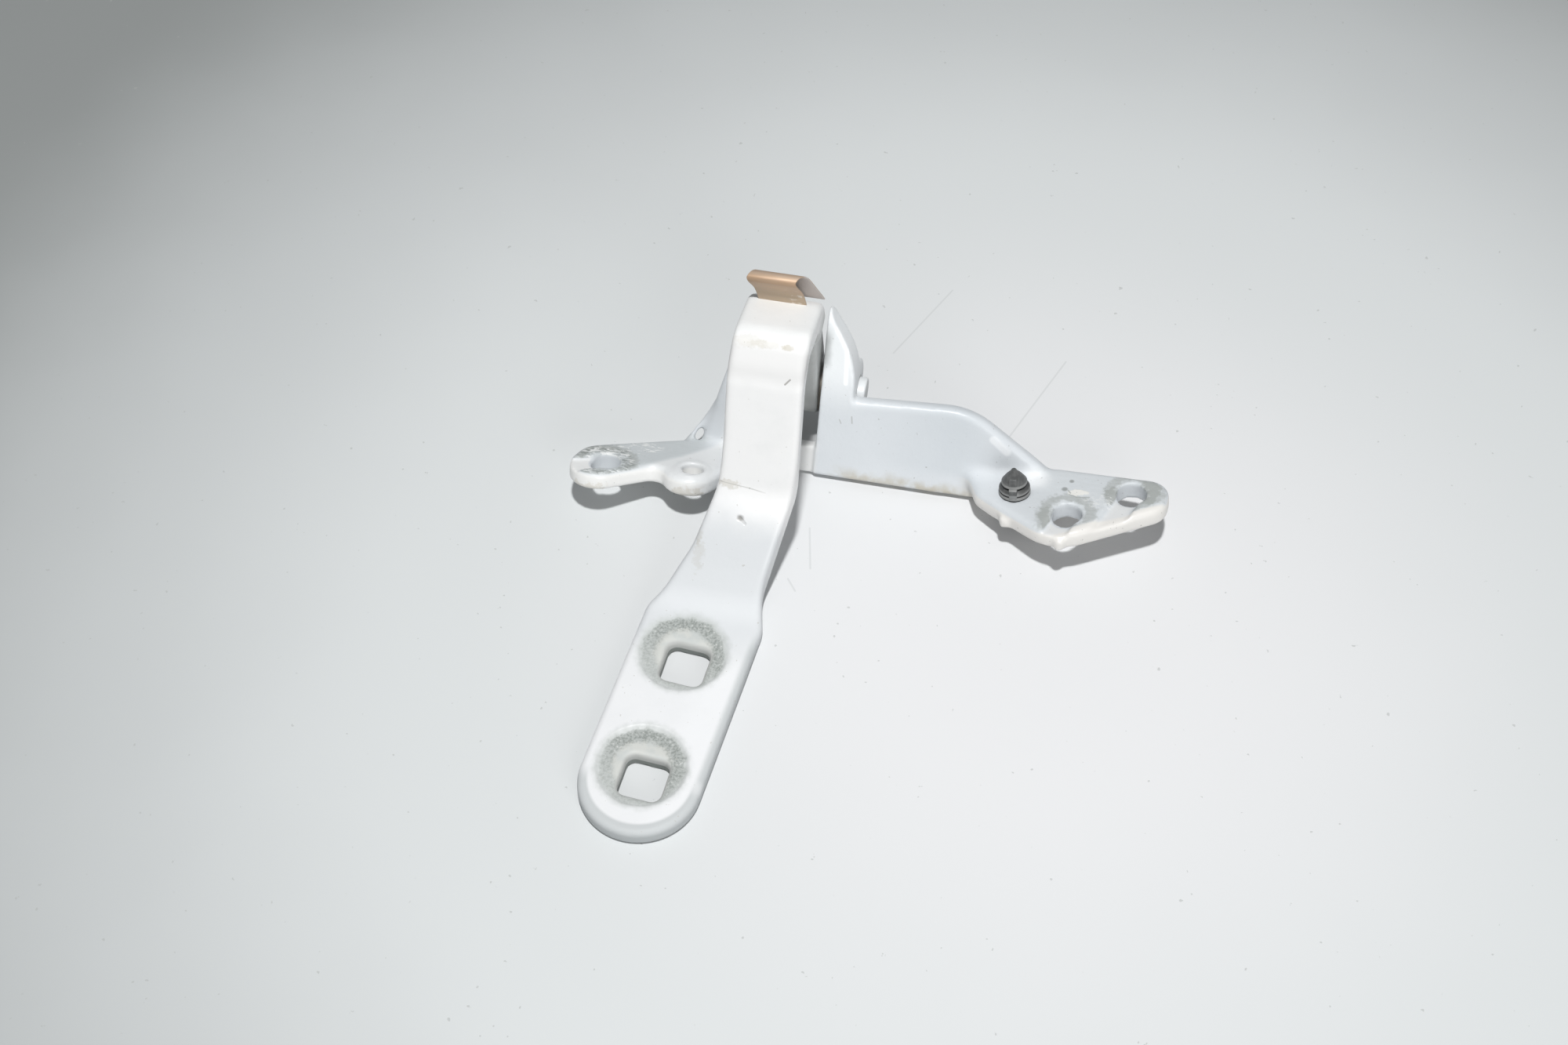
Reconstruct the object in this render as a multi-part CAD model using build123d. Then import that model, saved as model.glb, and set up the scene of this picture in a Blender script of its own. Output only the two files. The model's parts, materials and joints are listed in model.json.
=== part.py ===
from build123d import *
import math
import os

# A trunk lid hinge: a cast body bracket, a forged gooseneck arm on one pivot pin,
# a spring clip over the crest of the arm, and a push plug in the bracket's flange.
# Lengths are millimetres, and two frames share one origin, the middle of the pivot axis.
# Body frame: X along the pivot axis, Y away from the lid, Z square to the left mounting wing.
# Rest frame: the body frame leaned back, so that the lid paddle of the arm lies level.

# Stance
lean = 24.0                  # degrees that the bracket leans back while the paddle lies level

# Bracket plate, bridge and wall
plate = 6.0                  # thickness of the mounting wing
pivot_rise = 18.5            # pivot axis above the top of the mounting wing
wall_ahead = 12.0            # front face of the wall ahead of the pivot axis
wall = 5.5                   # wall thickness
wall_left = 13.4             # left end of the wall, under the right ear
wall_left_top = 2.4          # top of the wall at that end, above the pivot axis
crown_x = 57.0               # where the top of the wall turns down towards the flange
crown_top = 5.4              # top of the wall there, before it is rounded
wall_end_x = 84.0            # where the top of the wall meets the flange
wall_end_drop = 12.6         # that point below the pivot axis
wall_foot_x = 60.0           # where the foot of the wall starts to rise with the flange
wall_foot_rise = 6.0
crown_radius = 24.0
bridge_step = 1.2            # bridge front set back from the wall front
bridge_height = 9.2
web = 8.0                    # floor of the casting that joins the wing to the bridge

# Left wing
wing_hole_x = -51.0
wing_hole_ahead = 34.0
wing_hole = 9.0              # clearance for an M8 bolt
wing_radius = 8.9            # rounded end of the wing, and its middle off the hole, X and Y
wing_end = (-1.4, 2.1)
wing_corner_radius = 8.4     # fuller front corner of that end, and its middle off the hole
wing_corner = (-2.6, -0.6)
wing_root_radius = 6.4       # the wing narrows towards its root
wing_turn = 34.8             # degrees that the wing points forward of the pivot axis
wing_length = 29.2
boss_x = -24.4
boss_ahead = 31.4
boss_radius = 8.5            # rounded lug about the boss hole, and its middle off the hole
boss_shift = (-1.0, 1.3)
web_radius = 8.6             # web between the lug and the left ear
web_x = -21.0
web_ahead = 17.3
boss_hole = 6.6
boss_ring = 5.2              # radius of the raised ring about the boss hole
boss_rise = 0.5
relief_width = 7.6           # cast relief that runs from a bolt hole out through the edge
relief_depth = 1.3
wing_relief_turn = 205.0     # direction of that relief, degrees from X
flange_relief_turn = 248.0

# Right flange, on its own mounting plane
flange = 6.0
flange_roll = 7.7            # degrees, rising to the right
flange_pitch = 12.5          # degrees, rising to the back
flange_x = 90.2              # first bolt hole of the flange
flange_ahead = 28.9
flange_below = 15.0          # top of the flange there, below the pivot axis
flange_hole = 9.0            # clearance for an M8 bolt
hole_step = 18.5             # second bolt hole from the first
hole_step_back = 10.8
front_radius = 15.0          # rounded front corner, and its middle off the first bolt hole
front_shift = (-1.9, 5.4)
end_radius = 7.2             # rounded right end, and its middle off the second bolt hole
end_shift = (3.8, -1.6)
back_radius = 6.7            # back corner of that end
back_shift = (4.5, 0.6)
flange_left = 29.0           # left end of the flange from the first bolt hole
flange_left_ahead = 6.8      # front corner there, behind the first bolt hole
flange_flare = 6.0           # its left end slants out to the wall by this much
gusset = 4.5                 # hollow radius between flange and wall
gusset_right = -13.0         # where the hollow ends, along X of the flange
plug_hole = 8.2
plug_left = 16.7             # plug hole from the first bolt hole
plug_back = 8.5
tabs = ((-18.7, -0.9), (-1.5, -9.6))    # two half-round casting tabs on the front edge, X and Y
tab_radius = 1.9
tab_reach = 1.5
tab_height = 3.4
tab_under = 0.4              # tabs above the underside of the flange

# Ears
ear_gap = 20.6               # clear width between the ears
right_ear = 10.4             # right ear thickness at the pivot
ear_round = 11.0             # radius of the ears about the pivot
fin_tip_radius = 4.2         # the right ear rises ahead of the pivot as a fin
fin_tip_ahead = 7.6
fin_tip_rise = 27.2
fin_crown = ((10.4, 6.0), (9.5, 13.5), (7.2, 20.0), (3.6, 26.2), (0.8, 31.2))  # its outer face, X and Z
left_ear = 9.6               # left ear thickness at the pivot
left_seat = 6.6              # thickness left under the retaining ring
seat_radius = 7.2            # flat round seat of the ring
left_ear_spread = 14.0       # degrees that its outer face leans outwards down to the wing
strut = 2.2                  # thin rib across the corner behind the left ear
strut_foot_x = -30.6
strut_head_x = -22.5
strut_head_drop = 7.0

# Cast and forged rounding
cast_round = 2.0
crotch_round = 4.0           # hollow between the wing and its boss
small_round = 1.1

# Pivot
pin = 8.0
pin_head = 10.4
pin_head_length = 2.6
pin_point = 1.6              # pin past the retaining ring
ring = 1.0
ring_outer = 12.4
groove_depth = 0.4
bush_wall = 1.5
bush_length = 8.0
bush_flange = 1.0
bush_flange_outer = 15.0
running_fit = 0.04           # radial, pin in bushes
press_clear = 0.01           # radial, bushes in the eye and pin in the ears
side_play = 0.08             # between a bush flange and its ear
ring_play = 0.05

# Arm, in the rest frame
arm_left = 11.8              # strap edges, left and right of the middle of the ears
arm_right = 10.6
eye_radius = 8.0
narrow_radius = 38.6         # the arm is narrowed to pass between the ears inside this radius
leg_foot = (-53.0, 11.0)     # outer face: lower bend, Y and Z
leg_top = (-41.0, 51.0)      # outer face: top of the front leg
crest_front = (-30.5, 57.5)
crest_back = (-6.0, 48.5)
leg = 7.4                    # thickness of the front leg
crest = 8.4                  # thickness over the crest
back_leg = 9.6               # thickness of the back leg at the crest
paddle = 6.0
paddle_bend = 78.0           # top of the bend between neck and paddle, ahead of the pivot
paddle_left = 17.1           # paddle edges left and right of the upper hole
paddle_right = 18.6
tip_width = 35.6
tip_shift = (-0.8, -1.0)     # middle of the round end off the lower hole, X and Y
paddle_turn = 4.8            # degrees that the paddle points left of the arm
square_hole = 13.0
square_corner = 2.6
square_pitch = 39.5
upper_hole_x = -13.3
upper_hole_ahead = 99.0
shoulder_left = 17.2         # full paddle width starts this far behind the upper hole
shoulder_right = 18.0
neck_left = (-18.0, -64.3)   # where the strap starts to widen into the paddle, X and Y
neck_right = (4.4, -72.0)
left_bends = (18.0, 12.0, 8.0)    # roundings of the left edge, from the leg to the paddle
right_bends = (7.0, 12.0, 14.0)   # and of the right edge, from the paddle to the leg
leg_end = -48.2              # Y where its straight edges end
square_edge = 0.8            # broken upper edge of the square holes
recess = 26.4                # spot face about each square hole
recess_depth = 0.7
recess_shift = (-1.2, 3.4)   # middle of the recess off the middle of the hole, X and Y
bend_outer = 14.0            # radii of the bends on the outer face of the strap
bend_inner = 7.0
arm_round = 1.6              # edge rounding of the strap

# Spring clip, in the rest frame
clip = 0.5
clip_width = 14.4
clip_left = -8.4
clip_foot = -11.6            # Y of its front foot
clip_height = 11.6           # apex above the front foot
clip_bulge = 10.0            # height of the front fold above the front foot
clip_bulge_ahead = 1.2
clip_apex_back = 2.6
clip_rear = 8.0              # rear foot behind the front foot
clip_sink = 1.0              # feet let into the crest
clip_fold = 1.2              # inside radius of its folds
clip_skew_y = 0.55           # slant of the strip's cut ends with depth, and with height
clip_skew_z = -0.22

# Plug
plug_stem = 6.2
plug_barb = 9.2
plug_ring = 9.8
plug_ring_height = 1.6
plug_waist = 7.4
plug_length = 9.6
plug_tip = 0.8
plug_head = 12.4
plug_head_thick = 2.0
plug_fit = 0.1

# Places worked out from the values above
turn = math.radians(lean)
mount_top = -pivot_rise
mount_under = mount_top - plate
wall_front = -wall_ahead
wall_back = wall_front + wall
bridge_front = wall_front + bridge_step
ear_inner = ear_gap / 2
eye_half = ear_inner - bush_flange - side_play
right_ear_outer = ear_inner + right_ear
left_ear_outer = ear_inner + left_ear
left_seat_face = ear_inner + left_seat
pivot_height = wall_back * math.sin(turn) - mount_under * math.cos(turn)
paddle_under = -pivot_height
paddle_top = paddle_under + paddle
bush_bore = pin / 2 + running_fit
bush_outer = bush_bore + bush_wall
reach = 20.0                 # how far a cutting shape runs past what it cuts


def towards(start, end):
    """Unit vector from one point of a drawing to another."""
    across, up = end[0] - start[0], end[1] - start[1]
    length = math.hypot(across, up)
    return across / length, up / length


def inner_corner(before, corner, after, thick_before, thick_after):
    """Where the two faces behind a bend meet, to the right of the path through three points."""
    ax, ay = towards(before, corner)
    bx, by = towards(corner, after)
    p = (corner[0] + ay * thick_before, corner[1] - ax * thick_before)
    q = (corner[0] + by * thick_after, corner[1] - bx * thick_after)
    cross = ax * by - ay * bx
    along = ((q[0] - p[0]) * by - (q[1] - p[1]) * bx) / cross
    return p[0] + ax * along, p[1] + ay * along


def round_corners(outline, corners):
    """Round the corners of a flat outline, each given as (point, radius)."""
    for point, radius in corners:
        nearest = outline.vertices().sort_by_distance((point[0], point[1], 0))[0]
        outline = fillet(nearest, radius)
    return outline


def hull(circles, points=()):
    """Flat outline stretched round circles, each (x, y, radius), and a row of points."""
    edges = []
    for x, y, radius in circles:
        edges += (Pos(x, y) * Circle(radius)).edges()
    if points:
        edges += Polyline(*points).edges()
    return make_hull(edges)


def prism(outline, length):
    """Straight solid on a flat outline, along the Z of its drawing."""
    return extrude(outline, length, dir=(0, 0, 1))


def round_plate(outline, thickness, top, under):
    """Plate below its own XY plane, with its upper and lower edges rounded."""
    body = Pos(0, 0, -thickness) * prism(outline, thickness)
    body = fillet(body.faces().sort_by(Axis.Z)[-1].edges(), top)
    return fillet(body.faces().sort_by(Axis.Z)[0].edges(), under)


def tube_cut(radius, length):
    """Cylinder along X, centred on the origin."""
    return Rot(0, 90, 0) * Cylinder(radius, length)


def relief(direction, length):
    """Shallow channel from a bolt hole out through the plate's rounded edge."""
    channel = Box(length, relief_width, 2 * relief_depth, align=(Align.MIN, Align.CENTER, Align.CENTER))
    return Rot(0, 0, direction) * channel


def wing():
    hole = (wing_hole_x, -wing_hole_ahead)
    along = math.radians(wing_turn)
    root = (hole[0] + wing_length * math.cos(along), hole[1] + wing_length * math.sin(along))
    boss = (boss_x, -boss_ahead)
    arm_side = -ear_inner
    outline = hull([
        (hole[0] + wing_end[0], hole[1] + wing_end[1], wing_radius),
        (hole[0] + wing_corner[0], hole[1] + wing_corner[1], wing_corner_radius),
        (*root, wing_root_radius)])
    outline += hull(
        [(boss[0] + boss_shift[0], boss[1] + boss_shift[1], boss_radius), (web_x, -web_ahead, web_radius)],
        [(arm_side, bridge_front - web), (arm_side, wall_back)])
    crotch = ((hole[0] + boss[0]) / 2, (hole[1] + boss[1]) / 2)
    outline = round_corners(outline, [(crotch, crotch_round)])
    body = Pos(0, 0, mount_top) * round_plate(outline, plate, cast_round, small_round)
    ring_blank = Pos(*boss, mount_top) * Cylinder(boss_ring, 2 * boss_rise)
    body += ring_blank
    body -= Pos(*hole, mount_top) * Cylinder(wing_hole / 2, 4 * plate)
    body -= Pos(*boss, mount_top) * Cylinder(boss_hole / 2, 4 * plate)
    body -= Pos(*hole, mount_top) * relief(wing_relief_turn, wing_radius + reach)
    return body


def bridge():
    depth = wall_back - bridge_front
    width = wall_left + 2.0 + ear_inner + 2.0
    bar = Pos(-ear_inner - 2.0, bridge_front, mount_under) * Box(
        width, depth, bridge_height, align=(Align.MIN, Align.MIN, Align.MIN))
    top = bar.faces().sort_by(Axis.Z)[-1].edges().filter_by(Axis.X)
    return fillet(top, small_round)


def left_ear_body():
    outline = hull([(0, 0, ear_round)], [(wall_front, mount_under + plate / 2), (wall_back, mount_under)])
    thick = left_ear + reach
    ear = Plane.YZ.offset(-ear_inner - thick) * prism(outline, thick)
    outside = Pos(-left_ear_outer, 0, ear_round / 2) * Rot(0, left_ear_spread, 0) * Box(
        2 * reach, 4 * reach, 8 * reach, align=(Align.MAX, Align.CENTER, Align.CENTER))
    ear -= outside
    outer = ear.faces().sort_by(Axis.X)[0]
    return fillet(outer.edges(), cast_round)


def strut_rib():
    """Thin rib across the open corner between the wing and the left ear."""
    foot = Vector(strut_foot_x, wall_front, mount_top - strut)
    head = Vector(strut_head_x, wall_back, -strut_head_drop)
    path = head - foot
    return Plane(foot, z_dir=path) * prism(Circle(strut / 2), path.length)


def right_ear_fin():
    tip = (-fin_tip_ahead, fin_tip_rise, fin_tip_radius)
    neck = (-fin_tip_ahead + 3.4, -2.0, ear_round - 3.4)
    outline = hull([(0, 0, ear_round)], [(wall_front, mount_under), (wall_back, mount_under)])
    outline += hull([tip, neck], [(wall_front, mount_under), (wall_front, 0)])
    ear = Plane.YZ.offset(ear_inner) * prism(outline, right_ear)
    crown = [(ear_inner + x, z) for x, z in fin_crown]
    cross = make_face(
        Polyline((right_ear_outer, mount_under), crown[0]).edges()
        + Spline(*crown, tangents=[(0, 1), (-0.45, 1)]).edges()
        + Polyline(crown[-1], (ear_inner, crown[-1][1] + 0.6), (ear_inner, mount_under),
                   (right_ear_outer, mount_under)).edges())
    return ear & (Plane.XZ.offset(-2 * reach) * prism(cross, 4 * reach))


def wall_plate():
    outline = Polygon(
        (wall_left, mount_under), (wall_foot_x, mount_under),
        (wall_end_x, mount_under + wall_foot_rise), (wall_end_x, -wall_end_drop),
        (crown_x, crown_top), (wall_left, wall_left_top), align=None)
    outline = round_corners(outline, [((crown_x, crown_top), crown_radius)])
    body = Plane.XZ.offset(-wall_back) * prism(outline, wall)
    level = mount_under + wall_foot_rise + 1.0
    upper = body.edges().filter_by(Axis.Y, reverse=True).filter_by(Axis.Z, reverse=True)
    crown = upper.filter_by(lambda edge: edge.center().Z > level)
    return fillet(crown, cast_round)


def flange_place():
    """Frame of the flange: origin at its first bolt hole, Z square to its top face."""
    return Location((flange_x, -flange_ahead, -flange_below), (flange_pitch, -flange_roll, 0))


def flange_plate():
    second = (hole_step, hole_step_back)
    back = (wall_back + flange_ahead) / math.cos(math.radians(flange_pitch)) - small_round
    outline = hull(
        [(*front_shift, front_radius),
         (second[0] + end_shift[0], second[1] + end_shift[1], end_radius),
         (second[0] + back_shift[0], second[1] + back_shift[1], back_radius)],
        [(-flange_left, flange_left_ahead), (-flange_left - flange_flare, back), (-8.0, back)])
    body = round_plate(outline, flange, cast_round, small_round)
    for x, y in tabs:
        tab = Pos(x, y + tab_radius - tab_reach, tab_under - flange) * Cylinder(
            tab_radius, tab_height, align=(Align.CENTER, Align.CENTER, Align.MIN))
        body += tab
    for x, y in ((0, 0), second):
        body -= Pos(x, y, 0) * Cylinder(flange_hole / 2, 4 * flange)
        body -= Pos(x, y, 0) * relief(flange_relief_turn, front_radius + reach)
    body += flange_gusset()
    body -= Pos(-plug_left, plug_back, 0) * Cylinder(plug_hole / 2, 4 * flange)
    return flange_place() * body


def flange_gusset():
    """Hollow corner between the top of the flange and the front of the wall, in the flange's frame."""
    pitch = math.radians(flange_pitch)
    wall_at = (wall_front + flange_ahead) / math.cos(pitch)
    middle = wall_at + gusset * (math.tan(pitch) - 1 / math.cos(pitch))
    touch = middle + gusset * math.cos(pitch)
    top = gusset * (1 - math.sin(pitch))
    corner = Polygon((middle, -1.0), (touch + 1.0, -1.0), (touch + 1.0, top), (middle, top), align=None)
    corner -= Pos(middle, gusset) * Circle(gusset)
    length = gusset_right + flange_left + flange_flare / 2
    return Plane.YZ.offset(gusset_right - length) * prism(corner, length)


def bracket():
    pin_hole = tube_cut(pin / 2 + press_clear, 8 * reach)
    seat = Pos(-left_seat_face, 0, 0) * Rot(0, -90, 0) * Cylinder(
        seat_radius, reach, align=(Align.CENTER, Align.CENTER, Align.MIN))
    right = wall_plate() + flange_plate() + (right_ear_fin() - pin_hole)
    left = left_ear_body() - pin_hole - seat
    return right + bridge() + left + wing() + strut_rib()


def arm_profile():
    """Side view of the arm in the rest frame, drawn with Y across and Z up."""
    bend = (-paddle_bend, paddle_top)
    end = (-upper_hole_ahead - square_pitch - tip_width, paddle_top)
    end_under = (end[0], paddle_under)
    eye_back = (eye_radius * math.cos(0.18), eye_radius * math.sin(0.18))
    eye_front = (-eye_back[0], eye_back[1])
    path = [end, bend, leg_foot, leg_top, crest_front, crest_back, eye_back]
    thick = [paddle, leg, leg, crest, crest, back_leg]
    inner = []
    for i in range(1, len(path) - 1):
        inner.append(inner_corner(path[i - 1], path[i], path[i + 1], thick[i - 1], thick[i]))
    outline = Polygon(*inner, eye_front, *reversed(path), end_under, align=None)
    outer_rounds = [(point, bend_outer) for point in path[1:3]]
    outer_rounds += [(point, bend_outer - 2.0) for point in path[3:6]]
    inner_rounds = [(inner[0], bend_outer), (inner[1], bend_outer)]
    inner_rounds += [(point, bend_inner) for point in (inner[2], inner[4])]
    outline = round_corners(outline, outer_rounds + inner_rounds)
    return outline + Circle(eye_radius)


def paddle_axis():
    """Both square holes, X and Y in the rest frame."""
    swing = math.radians(paddle_turn)
    upper = (upper_hole_x, -upper_hole_ahead)
    lower = (upper[0] - square_pitch * math.sin(swing), upper[1] - square_pitch * math.cos(swing))
    return upper, lower


def arm_plan():
    """The arm seen from above in the rest frame, X across and Y up the drawing."""
    upper, lower = paddle_axis()
    tip_half = tip_width / 2
    swing = math.radians(paddle_turn)
    along = (math.sin(swing), math.cos(swing))
    across = (math.cos(swing), -math.sin(swing))
    tip = (lower[0] + tip_shift[0], lower[1] + tip_shift[1])
    tip_side = (tip_half * across[0], tip_half * across[1])
    left = tuple(upper[i] + shoulder_left * along[i] - paddle_left * across[i] for i in (0, 1))
    right = tuple(upper[i] + shoulder_right * along[i] + paddle_right * across[i] for i in (0, 1))
    back = eye_radius + reach
    outline = Polygon(
        (arm_right, back), (-arm_left, back), (-arm_left, leg_end), neck_left, left,
        (tip[0] - tip_side[0], tip[1] - tip_side[1]), (tip[0] + tip_side[0], tip[1] + tip_side[1]),
        right, neck_right, (arm_right, leg_end), align=None)
    outline = round_corners(outline, [
        *zip(((-arm_left, leg_end), neck_left, left), left_bends),
        *zip((right, neck_right, (arm_right, leg_end)), right_bends)])
    return outline + Pos(*tip) * Circle(tip_half)


def square_cut():
    """Square hole through the paddle, its upper edge broken, on the floor of the recess."""
    hole = RectangleRounded(square_hole, square_hole, square_corner)
    wide = square_hole + 2 * square_edge
    rim = RectangleRounded(wide, wide, square_corner + square_edge)
    cut = Pos(0, 0, -2 * paddle) * prism(hole, 4 * paddle)
    cut += loft([Pos(0, 0, -square_edge) * hole, rim])
    return Rot(0, 0, -paddle_turn) * cut


def strap_edge(edge):
    """True for an edge along the strap, ahead of or above the eye."""
    middle = edge.center()
    return (middle.Y < -6 or middle.Z > 10) and abs(edge.tangent_at(0.5).X) < 0.9


def arm_body():
    side = Plane.YZ.offset(-4 * reach) * prism(arm_profile(), 8 * reach)
    plan = Pos(0, 0, -2 * pivot_height) * prism(arm_plan(), 8 * pivot_height)
    body = side & plan
    body = fillet(body.edges().filter_by(strap_edge), arm_round)
    for sign in (-1, 1):
        shoulder_cut = Pos(sign * (eye_half + reach / 2), 0, 0) * tube_cut(narrow_radius, reach)
        body -= shoulder_cut
    body -= tube_cut(bush_outer + press_clear, 4 * reach)
    for x, y in paddle_axis():
        recess_place = Pos(x + recess_shift[0], y + recess_shift[1], paddle_top)
        body -= recess_place * Cylinder(recess / 2, 2 * recess_depth)
        body -= Pos(x, y, paddle_top - recess_depth) * square_cut()
    return body - spring_clip()


def bush(sign):
    sleeve = Cylinder(bush_outer, bush_length, align=(Align.CENTER, Align.CENTER, Align.MAX))
    collar = Cylinder(bush_flange_outer / 2, bush_flange, align=(Align.CENTER, Align.CENTER, Align.MIN))
    body = sleeve + collar - Cylinder(bush_bore, 4 * bush_length)
    return Pos(sign * eye_half, 0, 0) * Rot(0, sign * 90, 0) * body


def pivot_pin():
    ring_at = -left_seat_face - ring_play - ring
    left_end = ring_at - ring_play - pin_point
    length = right_ear_outer - left_end
    shank = Pos(left_end, 0, 0) * Rot(0, 90, 0) * Cylinder(
        pin / 2, length, align=(Align.CENTER, Align.CENTER, Align.MIN))
    shank = chamfer(shank.faces().sort_by(Axis.X)[0].edges(), 0.6)
    head = Pos(right_ear_outer, 0, 0) * Rot(0, 90, 0) * Cylinder(
        pin_head / 2, pin_head_length, align=(Align.CENTER, Align.CENTER, Align.MIN))
    head = fillet(head.faces().sort_by(Axis.X)[-1].edges(), 0.7)
    groove = Cylinder(pin, ring + 2 * ring_play) - Cylinder(pin / 2 - groove_depth, ring + 2 * ring_play)
    groove = Pos(ring_at + ring / 2, 0, 0) * Rot(0, 90, 0) * groove
    return shank + head - groove


def retaining_ring():
    """Open ring in the groove of the pin, with its mouth downwards."""
    bore = pin / 2 - groove_depth + running_fit
    body = Cylinder(ring_outer / 2, ring) - Cylinder(bore, 2 * ring)
    mouth = Box(2 * bore - 1.0, ring_outer, 2 * ring, align=(Align.CENTER, Align.MAX, Align.CENTER))
    body -= mouth
    middle = -left_seat_face - ring_play - ring / 2
    return Plane.YZ.offset(middle) * body


def clip_profile(thickness):
    """Side view of the bent strip in the rest frame, Y across and Z up."""
    foot = (clip_foot, crest_height(clip_foot) - clip_sink)
    bulge = (clip_foot - clip_bulge_ahead, crest_height(clip_foot) + clip_bulge)
    apex = (clip_foot + clip_apex_back, crest_height(clip_foot) + clip_height)
    rear = (clip_foot + clip_rear, crest_height(clip_foot + clip_rear) - clip_sink)
    path = [foot, bulge, apex, rear]
    start = towards(foot, bulge)
    finish = towards(apex, rear)
    inner = [(foot[0] + start[1] * thickness, foot[1] - start[0] * thickness)]
    inner += [inner_corner(foot, bulge, apex, thickness, thickness)]
    inner += [inner_corner(bulge, apex, rear, thickness, thickness)]
    inner += [(rear[0] + finish[1] * thickness, rear[1] - finish[0] * thickness)]
    outline = Polygon(*path, *reversed(inner), align=None)
    rounds = [(bulge, clip_fold + thickness), (apex, clip_fold + thickness)]
    rounds += [(inner[1], clip_fold), (inner[2], clip_fold)]
    return round_corners(outline, rounds)


def crest_height(y):
    """Height of the arm's outer face over the crest, at a given Y of the rest frame."""
    slope = (crest_back[1] - crest_front[1]) / (crest_back[0] - crest_front[0])
    return crest_back[1] + slope * (y - crest_back[0])


def spring_clip():
    profile = clip_profile(clip)
    strip = Plane.YZ.offset(-2 * clip_width) * prism(profile, 4 * clip_width)
    slant = Vector(1, -clip_skew_y, -clip_skew_z).normalized()
    gauge = clip_width * slant.X
    start = Vector(clip_left, clip_foot, crest_height(clip_foot))
    slab = Plane(start, z_dir=slant) * Box(
        4 * reach, 4 * reach, gauge, align=(Align.CENTER, Align.CENTER, Align.MIN))
    return strip & slab


def push_plug():
    """Fir-tree plug, head under the flange and barbs above, in the frame of the flange."""
    stem = plug_stem / 2
    ring_top = plug_fit + plug_ring_height
    outline = Polyline(
        (0, -flange - plug_head_thick), (plug_head / 2, -flange - plug_head_thick),
        (plug_head / 2, -flange), (stem, -flange), (stem, plug_fit), (plug_ring / 2, plug_fit),
        (plug_ring / 2, ring_top), (plug_waist / 2, ring_top + 0.5), (plug_waist / 2, ring_top + 1.3),
        (plug_barb / 2, ring_top + 1.9), (plug_barb / 2, ring_top + 2.5),
        (plug_tip / 2, plug_length), (0, plug_length), (0, -flange - plug_head_thick))
    body = revolve(Plane.XZ * make_face(outline), Axis.Z)
    return flange_place() * Pos(-plug_left, plug_back, 0) * body


def to_rest(shape):
    """Lean a shape of the body frame back into the rest frame."""
    return Rot(-lean, 0, 0) * shape


nodes = {
    "bracket": to_rest(bracket()),
    "gooseneck_arm": arm_body(),
    "pivot_pin": to_rest(pivot_pin()),
    "bush_left": bush(-1),
    "bush_right": bush(1),
    "retaining_ring": to_rest(retaining_ring()),
    "spring_clip": spring_clip(),
    "push_plug": to_rest(push_plug()),
}

whole = Compound(children=[Compound(shape.solids()) for shape in nodes.values()]).bounding_box()
stand = Pos(-whole.center().X, -whole.center().Y, -whole.min.Z)

os.makedirs("parts", exist_ok=True)
for name, shape in nodes.items():
    export_step(stand * shape, "parts/" + name + ".step")
print("origin moved by", stand.position)
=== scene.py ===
import json
import math
import bpy
import bmesh
from mathutils import Matrix, Vector


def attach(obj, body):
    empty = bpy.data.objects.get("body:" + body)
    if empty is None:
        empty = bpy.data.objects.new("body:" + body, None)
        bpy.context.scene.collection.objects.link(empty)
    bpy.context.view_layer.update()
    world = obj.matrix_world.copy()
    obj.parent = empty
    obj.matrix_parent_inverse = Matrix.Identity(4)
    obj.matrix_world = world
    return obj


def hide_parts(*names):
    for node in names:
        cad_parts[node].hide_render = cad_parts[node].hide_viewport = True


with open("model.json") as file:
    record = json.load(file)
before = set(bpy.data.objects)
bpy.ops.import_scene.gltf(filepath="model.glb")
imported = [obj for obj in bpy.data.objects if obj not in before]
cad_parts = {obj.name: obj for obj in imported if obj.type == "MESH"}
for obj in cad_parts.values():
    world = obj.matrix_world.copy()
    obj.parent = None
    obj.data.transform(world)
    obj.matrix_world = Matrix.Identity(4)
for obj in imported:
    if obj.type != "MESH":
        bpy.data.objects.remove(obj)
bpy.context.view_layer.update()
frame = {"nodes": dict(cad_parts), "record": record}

mm = 0.001
pivot = Vector(frame["record"]["behaviour"]["joints"][0]["pos_m"])
lean = math.radians(24)                       # the bracket leans back this far from its own frame
upright = (0, 0, 1)


class Val:                                    # a shader socket that can be used in sums
    def __init__(self, finish, socket):
        self.finish, self.socket = finish, socket

    def maths(self, operation, first, second):
        return self.finish.node("ShaderNodeMath", {"operation": operation}, {0: first, 1: second})

    def __add__(self, other):
        return self.maths("ADD", self, other)

    def __sub__(self, other):
        return self.maths("SUBTRACT", self, other)

    def __rsub__(self, other):
        return self.maths("SUBTRACT", other, self)

    def __mul__(self, other):
        return self.maths("MULTIPLY", self, other)

    __radd__ = __add__
    __rmul__ = __mul__


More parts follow.
